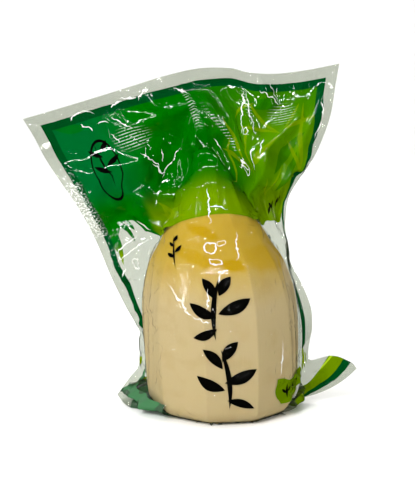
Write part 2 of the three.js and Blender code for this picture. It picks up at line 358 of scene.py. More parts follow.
# %% How far the middle of each fin row bows off its straight line: rows of t, x, y, z
LEFT_BOW = [[0, 0, -14, -3], [20, 0, -8, -1.5], [40, 0, 0, 0]]
RIGHT_BOW = [
    [0, 3.2, 0, -3.2], [20, 2, 0, -2], [40, 0, 0, 0], [66, 0, 0, 0], [80, -1.2, 2, 0], [120, -1.2, 2, 0],
    [136, 0, 0, 0]]

# %% How the film climbs: rows of t, height on the flesh
CLIMB = [
    [46, -0.15], [49, 2.5], [54, 7], [73, 25.5], [98, 50.5], [113, 65.3], [129, 80], [144, 93],
    [158, 105], [175, 119.5], [187, 130], [197, 138.5], [206, 146]]

# %% Where the films leave the flesh: t, then left and right of the angle, the height and the flat distance
ROOTS = [
    [0, 96, 96, -0.15, -0.15, 60, 50], [23, 99, 94, 2, 3, 62, 55], [46, 100, 93, 8, 10, 66, 62],
    [70, 101, 93, 18, 20, 73, 69], [95, 101, 93, 31, 34, 77, 71], [116, 98, 93, 47, 50, 77, 72],
    [130, 97, 94, 61, 62, 73, 70], [146, 96, 95, 77, 78, 62, 58], [160, 95, 96, 90, 91, 48, 45],
    [175, 94, 96, 104, 105, 35, 33], [190, 93, 95, 119, 120, 21, 20], [200, 92, 94, 131, 131, 10, 9],
    [206, 92, 92, 146, 146, 0, 0]]


# %% Film radius on the flesh
# How much further off it lies at the base and the tip, and over which heights; SHOULDER is where it closes
BASE_LIFT, BASE_REACH = 0.9, 6
TIP_LIFT, TIP_FROM, TIP_REACH = 0.8, 105, 30
SHOULDER = 138


def film_radius(angle, height):
    """Radius at which the film lies, a hair off the flesh, closing to a tent over the tip."""
    at_base = BASE_LIFT * smooth(1 - height / BASE_REACH)
    at_tip = TIP_LIFT * smooth((height - TIP_FROM) / TIP_REACH)
    closing = 1 - np.clip((height - SHOULDER) / (TENT - SHOULDER), 0, 1)
    return (section(angle, np.minimum(height, SHOULDER), 0.1) + CLING + at_base + at_tip) * closing


# %% One row of film, from its middle to its edge
# How many degrees before its root the film starts to stand off, and how many more towards the tip
EARLY, EARLY_AT_TIP = 12, 10
EARLY_FROM, EARLY_REACH = 100, 40


def half_row(t, face, hand):
    """Points at each STEP of flat distance; face is -1 for the front film, hand is -1 for the left side."""
    meeting, root_height, root_distance = [through(ROOTS, t, c + (hand > 0)) for c in (1, 3, 5)]
    middle = FILM_FOOT if t < RIM else through(CLIMB, t)
    root = meeting if face < 0 else 180 - meeting
    stands_off = root - EARLY - EARLY_AT_TIP * smooth((middle - EARLY_FROM) / EARLY_REACH)
    share = min(1.0, t / RIM)
    rim = film_radius(0.0 if face < 0 else 180.0, FILM_FOOT)
    reach = (face * SEAM_PLACE + SEAM_HALF) * (1 - share) + rim * share
    corner = np.degrees(np.arccos(np.clip(reach / rim, -1, 1)))
    step = np.linspace(0, 1, PATH_POINTS)
    angle = corner + (root - corner) * step
    facing = hand * angle if face < 0 else 180 - hand * angle
    height = middle + (root_height - middle) * step ** 2
    standing = 1 / np.cos(np.radians(np.maximum(angle - stands_off, 0)))
    path = around(facing, height, film_radius(facing, height) * standing)
    if corner > 0:
        path = np.vstack([[0, face * reach, BASE + FILM_FOOT], path])
    edge = np.array([through(LEFT_EDGE if hand < 0 else RIGHT_EDGE, t, c) for c in (1, 2, 3)])
    flat = np.linspace(0, HALF_WIDTH, HALF_COLUMNS + 1)
    run = np.r_[0, np.cumsum(np.linalg.norm(np.diff(path, axis=0), axis=1))]
    out = np.empty((len(flat), 3))
    held = flat <= root_distance
    for c in range(3):
        out[held, c] = np.interp(flat[held] / max(root_distance, 0.01) * run[-1], run, path[:, c])
    share = ((flat[~held] - root_distance) / (HALF_WIDTH - root_distance))[:, None]
    bow = np.array([through(LEFT_BOW if hand < 0 else RIGHT_BOW, t, c) for c in (1, 2, 3)])
    out[~held] = path[-1] + (edge - path[-1]) * share + bow * 4 * share * (1 - share)
    return out, root_distance


# %% Both films by rule
def ruled_films():
    """Films as one array (film, row, column, xyz), with the welded share of each grid point."""
    films = np.empty((2, ROWS, COLUMNS, 3))
    roots = np.zeros((ROWS, 2))
    last = int(TIP / STEP)
    for film, face in enumerate((-1, 1)):
        for row in range(last + 1):
            left, roots[row, 0] = half_row(ALONG[row], face, -1)
            right, roots[row, 1] = half_row(ALONG[row], face, 1)
            films[film, row, :HALF_COLUMNS + 1] = left[::-1]
            films[film, row, HALF_COLUMNS:] = right
    share = np.linspace(0, 1, COLUMNS)
    top = np.stack([through(TOP_EDGE, share, c) for c in (1, 2, 3)], -1)
    for row in range(last + 1, ROWS):
        up = (ALONG[row] - ALONG[last]) / (LENGTH - ALONG[last])
        line = films[:, last] + (top - films[:, last]) * up
        left = np.array([through(LEFT_EDGE, ALONG[row], c) for c in (1, 2, 3)])
        right = np.array([through(RIGHT_EDGE, ALONG[row], c) for c in (1, 2, 3)])
        pull_left = (left - line[:, :1]) * ((1 - share) ** 2)[:, None]
        pull_right = (right - line[:, -1:]) * (share ** 2)[:, None]
        films[:, row] = line + pull_left + pull_right
    distance = np.abs(ACROSS)[None, :]
    side = np.where(ACROSS[None, :] < 0, roots[:, :1], roots[:, 1:])
    welded = (distance >= side) | (ALONG[:, None] > TIP)
    return films, welded


ruled, welded = ruled_films()
print("welded share of the sheet", round(float(welded.mean()), 2))

# %% [markdown]
# ## Creases and crumpling
# Film can't stretch, so where it has more length than room it buckles into sharp ridges with flat panels
# between them. Large folds are listed as tents along short lines. Then the sheet is relaxed: each
# grid edge wants its own length, a little longer than the room it has, so the spare length turns to
# wrinkles. It runs on a coarse grid for wide folds first, and then on finer ones for small crumples.
# Blender's own cloth could do it too, but this way both films stay welded and keep their rows and columns.

# %% Folds: s and t of both ends, half width, height towards the viewer
FOLDS = [
    # the flared top
    (2.5, 219, -6, 210, 8, 4.5), (-6, 210, -1, 200, 7, 4.0), (-2, 203, 8, 197, 6, 2.0),
    (27, 189, 69, 223, 11, 8.0), (66, 192, 82, 232, 8, 5.5), (-10, 213, -33, 194, 11, -5.0),
    (-21, 206, -7, 212, 5, 2.5), (-40, 209, -31, 197, 7, 2.2), (-67, 192, -43, 193, 8, 1.6),
    (-43, 193, -17, 190, 8, 2.6), (-66, 189, -30, 167, 6, 2.0), (-25, 181, -30, 166, 5, 1.6),
    (52, 204, 80, 188, 8, -4.5), (41, 214, 30, 204, 6, 2.4),
    (39, 203, 31, 197, 6, 2.2), (9, 231, 22, 205, 7, 2.4), (32, 240, 38, 218, 6, 2.0),
    (-1, 241, 2, 221, 6, 2.0), (45, 246, 50, 232, 5, 2.0), (50, 232, 63, 234, 5, 1.8),
    (-61, 240, -50, 232, 5, 1.5), (-41, 239, -32, 227, 5, 1.6), (-24, 241, -19, 236, 4, 1.4),
    (30, 186, 26, 160, 4, 2.0), (44, 188, 40, 158, 4, -2.0), (56, 186, 52, 156, 5, 2.2),
    (68, 182, 66, 152, 5, -2.0),
    # small ones in the bare film at the left
    (-75, 162, -63, 167, 2.5, 0.9), (-72, 166, -50, 173, 2.5, 0.9), (-79, 170, -67, 174, 2.5, 0.8),
    (-66, 149, -61, 156, 2.5, 0.9), (-73, 139, -67, 148, 2.5, 0.9), (-80, 148, -77, 160, 2.5, 0.8),
    (-62, 160, -52, 166, 2.5, 0.8), (-76, 128, -71, 138, 2.5, 0.9), (-70, 156, -66, 160, 2, 0.7),
    # the two ears, and creases down the shoot
    (-68, 49, -60, 50, 12, 9.0), (-64, 50, -44, 50, 10, 8.0), (-44, 51, -32, 51, 9, 4.0),
    (58, 42, 40, 48, 9, 4.5), (54, 12, 50, 50, 7, 2.5),
    (60, 20, 62, 60, 5, 2.0), (2, 201, 3, 172, 2.5, 1.0), (10, 190, 15, 172, 2.5, 0.9),
    (-54, 60, -49, 112, 3, 0.9), (-61, 70, -58, 128, 3, 0.9), (-48, 118, -40, 150, 3, 0.9),
    (-58, 128, -44, 160, 3, 1.0), (-30, 118, -14, 108, 2.5, 0.6), (-22, 160, -30, 126, 2.5, 0.7),
    (44, 104, 47, 70, 2.5, 0.8), (52, 120, 56, 66, 3, 1.0), (40, 150, 46, 122, 2.5, 0.8)]


# %% Tent along a line
def tent(s, t, fold):
    """Height of one fold at each flat place: a ridge along its line that falls away to both sides."""
    s0, t0, s1, t1, half_width, height = fold
    run = np.array([s1 - s0, t1 - t0])
    share = np.clip(((s - s0) * run[0] + (t - t0) * run[1]) / (run @ run), 0, 1)
    away = np.hypot(s - s0 - share * run[0], t - t0 - share * run[1])
    return height * np.clip(1 - away / half_width, 0, 1) ** 1.5


# %% Normals of a grid
def facing_out(grid):
    """Unit normals of a film grid, towards the front of the front film."""
    cross = np.cross(np.gradient(grid, axis=-2), np.gradient(grid, axis=-3))
    return cross / (np.linalg.norm(cross, axis=-1, keepdims=True) + 1e-9)


# %% The folded start
flat_s, flat_t = np.meshgrid(ACROSS, ALONG)
fold_height = sum(tent(flat_s, flat_t, fold) for fold in FOLDS)
front_normal = facing_out(ruled[0])
if front_normal[ROWS * 2 // 3, HALF_COLUMNS, 1] > 0:
    front_normal = -front_normal
folded = ruled.copy()
folded[0] += front_normal * fold_height[..., None]
folded[1] += front_normal * (fold_height * welded)[..., None]
print("fold heights", round(float(fold_height.min()), 1), round(float(fold_height.max()), 1), "mm")


# %% Spare length
def blob(s, t, s0, t0, reach_s, reach_t):
    """1 at the middle of an oval patch, falling away to 0."""
    return np.exp(-((s - s0) / reach_s) ** 2 - ((t - t0) / reach_t) ** 2)


SLACK, WELDED_SLACK = 0.006, 0.018
# Where more film has gathered: s and t of the middle, reach along s and t, spare share
GATHERS = [
    (45, 212, 34, 30, 0.035), (50, 170, 26, 22, 0.030), (-28, 208, 28, 28, 0.020), (-70, 165, 25, 30, 0.020),
    (0, 208, 20, 22, 0.025), (-42, 230, 26, 14, 0.018), (-74, 150, 20, 30, 0.015), (-78, 60, 16, 50, 0.03)]
slack = SLACK + WELDED_SLACK * welded
for *patch, spare in GATHERS:
    slack = slack + spare * blob(flat_s, flat_t, *patch)
print("spare length", slack.min(), slack.max())

# %% Flesh as a table of radius, one entry a degree and a millimetre
FLESH_GAP = 0.15
FLOOR_GAP = 0.15
TABLE_TOP = 142
limit_turn, limit_rise = np.meshgrid(np.linspace(0, 360, 361), np.linspace(0, TABLE_TOP, TABLE_TOP + 1))
limit_table = section(limit_turn, np.minimum(limit_rise, 140), 0.05) + FLESH_GAP
limit_table = limit_table * (1 - smooth((limit_rise - 139) / 3))
print("flesh table", limit_table.shape)


def keep_off_flesh(points):
    """Moves points that are inside the flesh out to its surface, sideways."""
    height = points[..., 2] - BASE
    x = points[..., 0] - lean(height)
    y = points[..., 1]
    radius = np.sqrt(x * x + y * y) + 1e-9
    turn = np.degrees(np.arctan2(x, -y)) % 360
    column = np.clip(turn.astype(int), 0, 360)
    row = np.clip(height, 0, TABLE_TOP).astype(int)
    limit = np.where((height < 0) | (height > TABLE_TOP - 0.5), 0.0, limit_table[row, column])
    grow = np.maximum(limit / radius, 1.0)
    points[..., 0] = lean(height) + x * grow
    points[..., 1] = y * grow


# %% Relaxing a sheet
# Edges of the grid that act as springs: rows down, columns over, strength
PAIRS = [(0, 1, 1.0), (1, 0, 1.0), (1, 1, 0.7), (1, -1, 0.7), (0, 2, 0.03), (2, 0, 0.03)]
SPRING = 0.17


def ends(points, down, over):
    """Views of both ends of every grid edge that runs down rows and over columns."""
    rows, columns = points.shape[1:3]
    first = points[:, :rows - down, max(0, -over):columns - max(0, over)]
    second = points[:, down:, max(0, over):columns + min(0, over)]
    return first, second


def relax(start, wanted, anchor, stretch, weld, hold, rounds, settle):
    """Lets two films settle: wanted gives edge lengths, stretch lengthens them, hold pulls to anchor."""
    points = start.copy()
    speed = np.zeros_like(points)
    lengths = []
    for down, over, strength in PAIRS:
        first, second = ends(wanted, down, over)
        spare_first, spare_second = ends(stretch, down, over)
        spare = 1 + (spare_first + spare_second) / 2
        if 2 in (down, over):
            rows, columns = wanted.shape[1:3]
            middle = wanted[:, down // 2:rows - down // 2, over // 2:columns - over // 2]
            rest = np.linalg.norm(middle - first, axis=-1) + np.linalg.norm(second - middle, axis=-1)
        else:
            rest = np.linalg.norm(second - first, axis=-1)
        lengths.append(rest * spare)
    for turn_number in range(rounds):
        push = hold[..., None] * (anchor - points)
        for (down, over, strength), rest in zip(PAIRS, lengths):
            first, second = ends(points, down, over)
            run = second - first
            now = np.sqrt(np.einsum("...k,...k", run, run)) + 1e-9
            pull = run * (strength * SPRING * (1 - rest / now))[..., None]
            push_first, push_second = ends(push, down, over)
            push_first += pull
            push_second -= pull
        speed = settle * speed + push
        points += speed
        both = points.mean(axis=0)
        points[:, weld] = both[weld]
        keep_off_flesh(points)
        np.maximum(points[..., 2], FLOOR_GAP, out=points[..., 2])
    return points


# %% From coarse to fine
def doubled(grid):
    """A grid with a new point in the middle of each edge and face."""
    rows = np.empty((grid.shape[0], 2 * grid.shape[1] - 1, *grid.shape[2:]))
    rows[:, ::2] = grid
    rows[:, 1::2] = (grid[:, 1:] + grid[:, :-1]) / 2
    full = np.empty((*rows.shape[:2], 2 * grid.shape[2] - 1, grid.shape[3]))
    full[:, :, ::2] = rows
    full[:, :, 1::2] = (rows[:, :, 1:] + rows[:, :, :-1]) / 2
    return full


# %% What is held: the sealed outline, the film under the base, and the fin at the right
# The foot ends at this t, and the right fin is held past this s and between two t
FOOT = 50
RIGHT_FIN_FROM, RIGHT_FIN_LOW, RIGHT_FIN_HIGH = 70, 66, 136
# Calm places are shaken less; the patch gives s and t of its middle and its reach along both
CALM, CALM_PATCH = 0.15, (-66, 208, 18, 28)
chance = np.random.default_rng(7)
outline = np.zeros((ROWS, COLUMNS), dtype=bool)
outline[-1] = True
outline[0] = welded[0]
outline[:, 0] = True
outline[:, -1] = True
under_base = (flat_t < FOOT) & ~welded
right_fin = (flat_s > RIGHT_FIN_FROM) & (flat_t > RIGHT_FIN_LOW) & (flat_t < RIGHT_FIN_HIGH)
calm = np.where((flat_t < FOOT) | right_fin, CALM, 1.0)
calm = calm * (1 - (1 - CALM) * blob(flat_s, flat_t, *CALM_PATCH))
print("held points:", int(outline.sum() + under_base.sum() + right_fin.sum()))

# %% Relaxing: grid steps, shake in mm, rounds, pull towards the start
PASSES = [(8, 3.0, 300, 0.0015), (4, 0.9, 300, 0.0006), (2, 0.2, 260, 0.0004), (1, 0.03, 240, 0.0003)]
# How hard each place is pulled back to its own spot at every round, and how much speed is kept
HOLD_CLING, HOLD_OUTLINE, HOLD_UNDER, HOLD_FOOT, HOLD_FIN = 0.02, 0.3, 0.5, 0.4, 0.08
SPEED_KEPT = 0.9
moved = np.zeros((2, (ROWS - 1) // 8 + 1, (COLUMNS - 1) // 8 + 1, 3))
films = folded
for stride, noise, rounds, tether in PASSES:
    cut = (slice(None), slice(None, None, stride), slice(None, None, stride))
    target = folded[cut]
    weld_here = welded[cut[1:]]
    shake = chance.normal(0, noise, (*target.shape[:3], 1)) * (front_normal * calm[..., None])[cut[1:]]
    shake[1] = np.where(weld_here[..., None], shake[0], 0)
    start = target + moved
    loose = weld_here & ~(outline | right_fin)[cut[1:]]
    anchor = np.where(loose[..., None], start, target)
    hold = np.where(loose, tether, HOLD_CLING)
    hold = hold + HOLD_OUTLINE * outline[cut[1:]] + HOLD_UNDER * under_base[cut[1:]]
    hold = hold + HOLD_FOOT * (outline & (flat_t < FOOT))[cut[1:]] + HOLD_FIN * right_fin[cut[1:]]
    room = np.broadcast_to(slack[cut[1:]], target.shape[:3])
    films = relax(start + shake, target, anchor, room, weld_here, hold[None], rounds, SPEED_KEPT)
    moved = films - target
    print("grid", target.shape[1:3], "moved up to", round(float(np.abs(moved).max()), 1), "mm")
    if stride > 1:
        moved = doubled(moved)

# %% Two skins, a hair apart
SKIN_GAP = 0.12
sheet_normal = facing_out(films[0])
if sheet_normal[ROWS * 2 // 3, HALF_COLUMNS, 1] > 0:
    sheet_normal = -sheet_normal
films = films.copy()
films[0] += sheet_normal * (SKIN_GAP * welded)[..., None]
films[1] -= sheet_normal * (SKIN_GAP * welded)[..., None]
print("welded films", 2 * SKIN_GAP, "mm apart")


# %% Film meshes
LOW_SCALE = 100.0


def run_from_end(grid):
    """True distance of each grid point from the bottom edge of its film, along its column."""
    step = np.linalg.norm(np.diff(grid, axis=0), axis=-1)
    return np.vstack([np.zeros(grid.shape[1]), np.cumsum(step, axis=0)])


def sheet_piece(name, grid, start, node_name, outside):
    """A film mesh that faces -1 front or 1 back, with UVs for the flat sheet and for run_from_end."""
    rows, columns = grid.shape[:2]
    corner = np.arange(rows * columns).reshape(rows, columns)
    quads = np.stack([corner[:-1, :-1], corner[:-1, 1:], corner[1:, 1:], corner[1:, :-1]], -1)
    if outside > 0:
        quads = quads[..., ::-1]
    flat = np.stack([(flat_s + HALF_WIDTH) / (2 * HALF_WIDTH), flat_t / LENGTH], -1).reshape(-1, 2)
    made = new_piece(name, grid.reshape(-1, 3), quads.reshape(-1, 4).tolist(), flat)
    low = np.minimum(run_from_end(start) / LOW_SCALE, 1)
    low = np.stack([low, flat_s / HALF_WIDTH / 2 + 0.5], -1).reshape(-1, 2)
    corners = quads.reshape(-1)
    made.data.uv_layers.new(name="low").data.foreach_set("uv", low[corners].ravel())
    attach(made, "root")
    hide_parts(node_name)
    return made


front_sheet = sheet_piece("front_film", films[0], ruled[0], "film_front", -1)
back_sheet = sheet_piece("back_film", films[1], ruled[1], "film_back", 1)

# %% [markdown]
# ## Flesh of the shoot
# Boiled winter bamboo is dense, moist and slightly waxy. The cut flesh is pale cream at the foot and straw
# yellow towards the tip. Two nodes show as deeper yellow stains, and fine fibres run up the shoot. An even
# ring of colour would look painted, so each stain is a few soft ovals shaken by noise. A little scattering
# under the surface gives the waxy look. The wet gloss belongs to the film pressed on it, so the flesh has no
# shine of its own.

# %% Flesh values
FLESH_FOOT = "e8cba0"
FLESH_UPPER = "e3b842"
FLESH_STAIN = "dbab00"
FIBRE_TONE = "f0d898"
CLOUD_TONE = "b88a34"
YELLOW_FROM, YELLOW_TO = 62.0, 94.0
FIBRE_WIDTH = 0.9
FIBRE_LENGTH = 22.0
# How much of the fibres and clouds shows
FIBRE_SHARE, CLOUD_SHARE = 0.05, 0.12
# A cloud is about 11 mm across, so a millimetre holds 0.09 of one
CLOUD_SCALE = 0.09
STAIN_SHAKE = 7.0
# Stains: x and z of the middle, half length, half height, slope in degrees, strength
STAINS = [
    (-11, 104, 8, 3.2, -14, 1.0), (5, 88, 7, 3.4, -10, 1.0), (-14, 91, 15, 3.4, -16, 0.8),
    (24, 90, 15, 6.5, -14, 0.6), (0, 99, 26, 12, 0, 0.2)]
BACK_STAINS = [(-12, 88, 16, 3.6, 8, 0.8), (14, 90, 14, 3.6, -6, 0.7), (-4, 103, 12, 3.0, 4, 0.7)]


# %% Ovals
# Where a soft oval begins and where it is full, as shares of its half length
OVAL_EDGE = (1.35, 0.6)


def from_middle(tree, place, oval):
    """0 in the middle of an oval and 1 on its rim; oval is x, z, half length, half height, slope."""
    x, z, half_length, half_height, slope = oval
    turn = (0, 0, np.radians(slope))
    size = (half_length, half_height, 1)
    own = node(tree, "Mapping", place, (x, z, 0), turn, size, vector_type="TEXTURE")
    return node(tree, "VectorMath.LENGTH", own)


def soft_oval(tree, place, patch):
    """A patch with a soft rim; patch is an oval and its strength."""
    share = node(tree, "MapRange", from_middle(tree, place, patch[:5]), *OVAL_EDGE, **SMOOTH)
    return node(tree, "Math.MULTIPLY", share, patch[5])


# %% Stains, shaken by noise
flesh = bpy.data.materials.new("moist_bamboo_flesh")
flesh.use_nodes = True
tree = flesh.node_tree
tree.nodes.clear()
in_mm = node(tree, "VectorMath.MULTIPLY", node(tree, "TexCoord").outputs["Object"], (1000, 1000, 1000))
cloud = node(tree, "TexNoise", {"Vector": in_mm, "Scale": CLOUD_SCALE, "Detail": 3.0})
shake = (STAIN_SHAKE, 0, STAIN_SHAKE)
shaken = node(tree, "VectorMath.MULTIPLY_ADD", cloud.outputs["Color"], shake, in_mm)
shaken = node(tree, "SeparateXYZ", shaken)
x_now = node(tree, "Math.SUBTRACT", shaken.outputs[0], STAIN_SHAKE / 2)
z_now = node(tree, "Math.SUBTRACT", shaken.outputs[2], STAIN_SHAKE / 2)
square_on = node(tree, "CombineXYZ", x_now, z_now)
depth = node(tree, "SeparateXYZ", in_mm).outputs[1]
stained = 0.0
for stains, facing in ((STAINS, "LESS_THAN"), (BACK_STAINS, "GREATER_THAN")):
    shown = node(tree, "Math", depth, 0.0, operation=facing)
    for stain in stains:
        patch = node(tree, "Math.MULTIPLY", soft_oval(tree, square_on, stain), shown)
        stained = node(tree, "Math.MAXIMUM", stained, patch)
print("stain nodes:", len(tree.nodes))

# %% Flesh material
yellower = node(tree, "MapRange", z_now, YELLOW_FROM, YELLOW_TO, **SMOOTH)
tone = node(tree, "Mix", yellower, FLESH_FOOT, FLESH_UPPER, **COLOUR)
fibre_scale = (1 / FIBRE_WIDTH, 1 / FIBRE_WIDTH, 1 / FIBRE_LENGTH)
fibre_place = node(tree, "VectorMath.MULTIPLY", in_mm, fibre_scale)
fibre = node(tree, "TexNoise", {"Vector": fibre_place, "Scale": 0.6, "Detail": 2.0})
pale = node(tree, "MapRange", fibre, 0.5, 0.75, 0.0, FIBRE_SHARE, **SMOOTH)
tone = node(tree, "Mix", pale, tone, FIBRE_TONE, **COLOUR)
cloudy = node(tree, "MapRange", cloud, 0.5, 0.7, 0.0, CLOUD_SHARE, **SMOOTH)
tone = node(tree, "Mix", cloudy, tone, CLOUD_TONE, **COLOUR)
tone = node(tree, "Mix", stained, tone, FLESH_STAIN, **COLOUR)
grain = node(tree, "Bump", {"Height": fibre, "Strength": 0.35, "Distance": 0.0003})
surface = node(tree, "BsdfPrincipled", {
    "Base Color": tone, "Normal": grain, "Roughness": 0.45, "Specular IOR Level": 0.0,
    "Subsurface Weight": 0.08, "Subsurface Radius": (1.0, 0.6, 0.25), "Subsurface Scale": 0.004})
node(tree, "OutputMaterial", surface)
shoot.data.materials.append(flesh)
print("flesh nodes:", len(tree.nodes))

# %% [markdown]
# ## Printed film
# Vacuum pouches are nylon and polyethylene laminate, clear as glass where it is bare and printed with a few
# flat inks: a dark green frame, a green field that shades to yellow, leaves, and black brush strokes. A
# picture mapped on the sheet would be simpler, but shapes worked out in millimetres on the flat sheet stay
# sharp at any distance and follow every fold. Each shape is 0 or 1 over the sheet, and each ink is laid over
# the last.

# %% Print measures
SEAL_MARGIN = 6.5
FRAME_INNER = 11.0
# Foot of the green field: s, t
FIELD_FOOT = [
    (-90, 168), (-80, 170), (-74, 171), (-69, 176), (-64, 179), (-57, 179), (-50, 176), (-43, 169),
    (-36, 165), (-26, 166), (-6, 166), (8, 168), (19, 170), (32, 172), (41, 172), (56, 168), (76, 163),
    (90, 160)]
FOOT_LOW, FOOT_SPAN = 150.0, 40.0
# The side frames have gaps: middle and half length of each, along t
FRAME_GAP_LEFT = (55.0, 56.0)
FRAME_GAP_RIGHT = (38.0, 40.0)
# A band along the foot runs only over the right ear. It slants, and thins towards the shoot.
BAND_SLANT, BAND_OFFSET, BAND_THINNING, BAND_REACH = 0.13, 1.5, 0.08, 53.0
FAR = 60.0
# Where each shade of the field sets in: from and to along s, then along t
GREEN_FROM = (-66.0, -28.0), (204.0, 186.0)
LIME_FROM = (0.0, 60.0), (262.0, 196.0)
LEMON_FROM = (-47.0, -41.0), (197.0, 176.0)
# Leaves that hang below the field turn from dark to light over these t
HANGING_TURN = (168.0, 156.0)
# The right ear: its s, and its upper edge as slope, offset, least and most; its midrib and half width
EAR_FROM = 43.0
EAR_TOP = (-1.4, 121.0, 28.5, 50.0)
MIDRIB = (18.0, 0.6)
# The label: middle and half length along s and along t, and how far its edge wanders
LABEL_S, LABEL_T, LABEL_WANDER = (51.0, 18.0), (62.0, 9.0), 14.0
# Gathered film at the left foot: middle and half length along s, its top, and how much ink it shows
GATHERED_S, GATHERED_TOP, GATHERED_INK = (-56.0, 24.0), 55.0, 0.9
# A slow noise with swells about 20 mm across, so a millimetre holds 0.05 of one
WOBBLE_SCALE = 0.05

# %% Print inks
INKS = {
    "frame": "004418", "emerald": "005c24", "green": "006300", "lime": "548600", "lemon": "658900",
    "leaf": "749000", "deep": "005a0c", "black": "050504", "patch": "5e7c00", "midrib": "9cba20",
    "seal_green": "1c7238"}

# %% Leaves of the print: foot s and t, direction in degrees, length, half width, curve
LIME_LEAVES = [
    (57, 214, 138, 30, 1.05, 0.5), (57, 214, 172, 28, 0.93, -0.4), (56, 213, 206, 26, 1.24, 0.4),
    (59, 216, 16, 24, 1.18, 0.3), (59, 216, 58, 18, 0.93, -0.3), (30, 200, 122, 28, 1.12, 0.4),
    (30, 200, 162, 20, 0.87, -0.3), (31, 199, 76, 22, 0.87, 0.3), (77, 190, 98, 42, 1.36, 0.5),
    (78, 188, 126, 28, 0.99, -0.3), (48, 180, 62, 22, 1.12, 0.4), (50, 180, 112, 18, 0.87, 0.3),
    (-14, 169, 150, 26, 1.6, 0.3), (-22, 172, 128, 22, 1.5, -0.3), (-30, 170, 100, 18, 1.4, 0.3),
    (18, 214, 250, 20, 0.87, 0.4), (40, 232, 214, 18, 0.81, -0.4)]
FIN_LEAVES = [
    (-84, 58, 80, 20, 2.0, 0.3), (-70, 54, 88, 20, 1.8, -0.3), (-63, 58, 100, 16, 1.3, 0.3),
    (78, 52, 85, 32, 1.8, 0.3), (71, 50, 72, 26, 1.5, 0.3), (83, 50, 95, 22, 1.3, -0.3)]
DEEP_LEAVES = [
    (62, 236, 190, 30, 3.2, 0.3), (74, 214, 215, 30, 3.0, 0.4), (20, 226, 240, 26, 3.4, -0.4),
    (70, 204, 238, 24, 3.0, 0.4), (-60, 236, 170, 18, 2.6, 0.4), (-40, 196, 200, 26, 3.0, -0.4)]
HANGING_LEAVES = [
    (-73, 178, 262, 24, 1.8, 0.2), (-80, 176, 288, 16, 3.4, 0.4), (-67, 179, 292, 14, 1.4, 0.4),
    (-64, 181, 300, 9, 1.3, -0.3), (-70, 178, 318, 10, 1.2, 0.3), (-61, 182, 324, 27, 1.1, -0.3),
    (-57, 182, 320, 24, 1.0, 0.3), (-52, 178, 314, 20, 1.3, 0.3), (-42, 171, 282, 12, 1.3, 0.3)]

# %% Brush strokes in black ink: two sprigs, and small ones in the same form
BRUSH_STROKES = [
    (-3, 96, 84, 34, 1.4, 0.5), (-2, 108, 150, 17, 3.0, 0.5), (-1, 110, 28, 20, 3.4, -0.5),
    (-2, 118, 118, 14, 2.7, -0.4), (0, 120, 58, 13, 2.9, 0.4), (-2, 102, 200, 14, 2.5, 0.6),
    (3, 57, 96, 34, 1.4, -0.5), (1, 68, 152, 17, 3.1, 0.5), (1, 72, 24, 19, 3.3, -0.5),
    (0, 80, 132, 15, 2.7, -0.5), (0, 84, 52, 14, 2.9, 0.4), (2, 62, 338, 15, 2.4, 0.5)]
SMALL_STROKES = [
    (-24, 137, 88, 22, 0.5, 0.3), (-24, 144, 140, 6, 1.1, 0.4), (-24, 147, 40, 6, 1.1, -0.4),
    (-24, 151, 130, 5, 1.0, 0.4), (-24, 154, 50, 5, 1.0, -0.4), (-58, 200, 96, 26, 0.6, 0.4),
    (-58, 207, 146, 10, 1.5, 0.4), (-59, 211, 34, 11, 1.5, -0.4), (-59, 217, 138, 9, 1.4, 0.4),
    (-60, 220, 44, 9, 1.4, -0.4), (39, 56, 82, 11, 0.9, 0.3), (39, 60, 130, 5, 1.0, 0.3),
    (40, 61, 42, 5, 1.0, -0.3), (47, 57, 88, 10, 0.9, 0.3), (47, 61, 40, 5, 0.9, -0.3),
    (58, 60, 70, 8, 0.9, 0.3), (50, 173, 20, 7, 0.9, 0.3), (58, 171, 85, 7, 0.9, 0.3),
    (58, 174, 140, 6, 0.9, 0.3), (65, 172, 95, 7, 1.0, 0.3), (65, 174, 40, 5, 0.9, 0.3)]
OUTLINE = (-59.5, 210, 8.0, 17.0, -6)
OUTLINE_PEN = 0.05


# %% Leaf shapes
def leaf(tree, place, shape):
    """1 inside one curved lens-shaped leaf or brush stroke, 0 outside."""
    foot_s, foot_t, direction, length, half_width, curve = shape
    turn = (0, 0, np.radians(direction))
    size = (length, half_width, 1)
    own = node(tree, "Mapping", place, (foot_s, foot_t, 0), turn, size, vector_type="TEXTURE")
    split = node(tree, "SeparateXYZ", own)
    bow = node(tree, "Math.MULTIPLY_ADD", split.outputs[0], -4.0, 4.0)
    bow = node(tree, "Math.MULTIPLY", split.outputs[0], bow)
    bent = node(tree, "Math.MULTIPLY_ADD", bow, -curve * length * 0.12 / half_width, split.outputs[1])
    return node(tree, "Math.GREATER_THAN", bow, node(tree, "Math.ABSOLUTE", bent))


def leaves(tree, place, shapes):
    """1 inside any of the leaves."""
    total = leaf(tree, place, shapes[0])
    for shape in shapes[1:]:
        total = node(tree, "Math.MAXIMUM", total, leaf(tree, place, shape))
    return total


# %% Places on the flat sheet
def sheet_places(tree):
    """s across and t up in millimetres, both as one place, a slow noise, and the distance from the foot."""
    flat = node(tree, "SeparateXYZ", node(tree, "UVMap", uv_map="flat"))
    s = node(tree, "Math.MULTIPLY_ADD", flat.outputs[0], 2 * HALF_WIDTH, -HALF_WIDTH)
    t = node(tree, "Math.MULTIPLY", flat.outputs[1], LENGTH)
    place = node(tree, "CombineXYZ", s, t)
    wobble = node(tree, "TexNoise", {"Vector": place, "Scale": WOBBLE_SCALE, "Detail": 2.0})
    run = node(tree, "SeparateXYZ", node(tree, "UVMap", uv_map="low"))
    run = node(tree, "Math.MULTIPLY", run.outputs[0], LOW_SCALE)
    return s, t, place, wobble, run


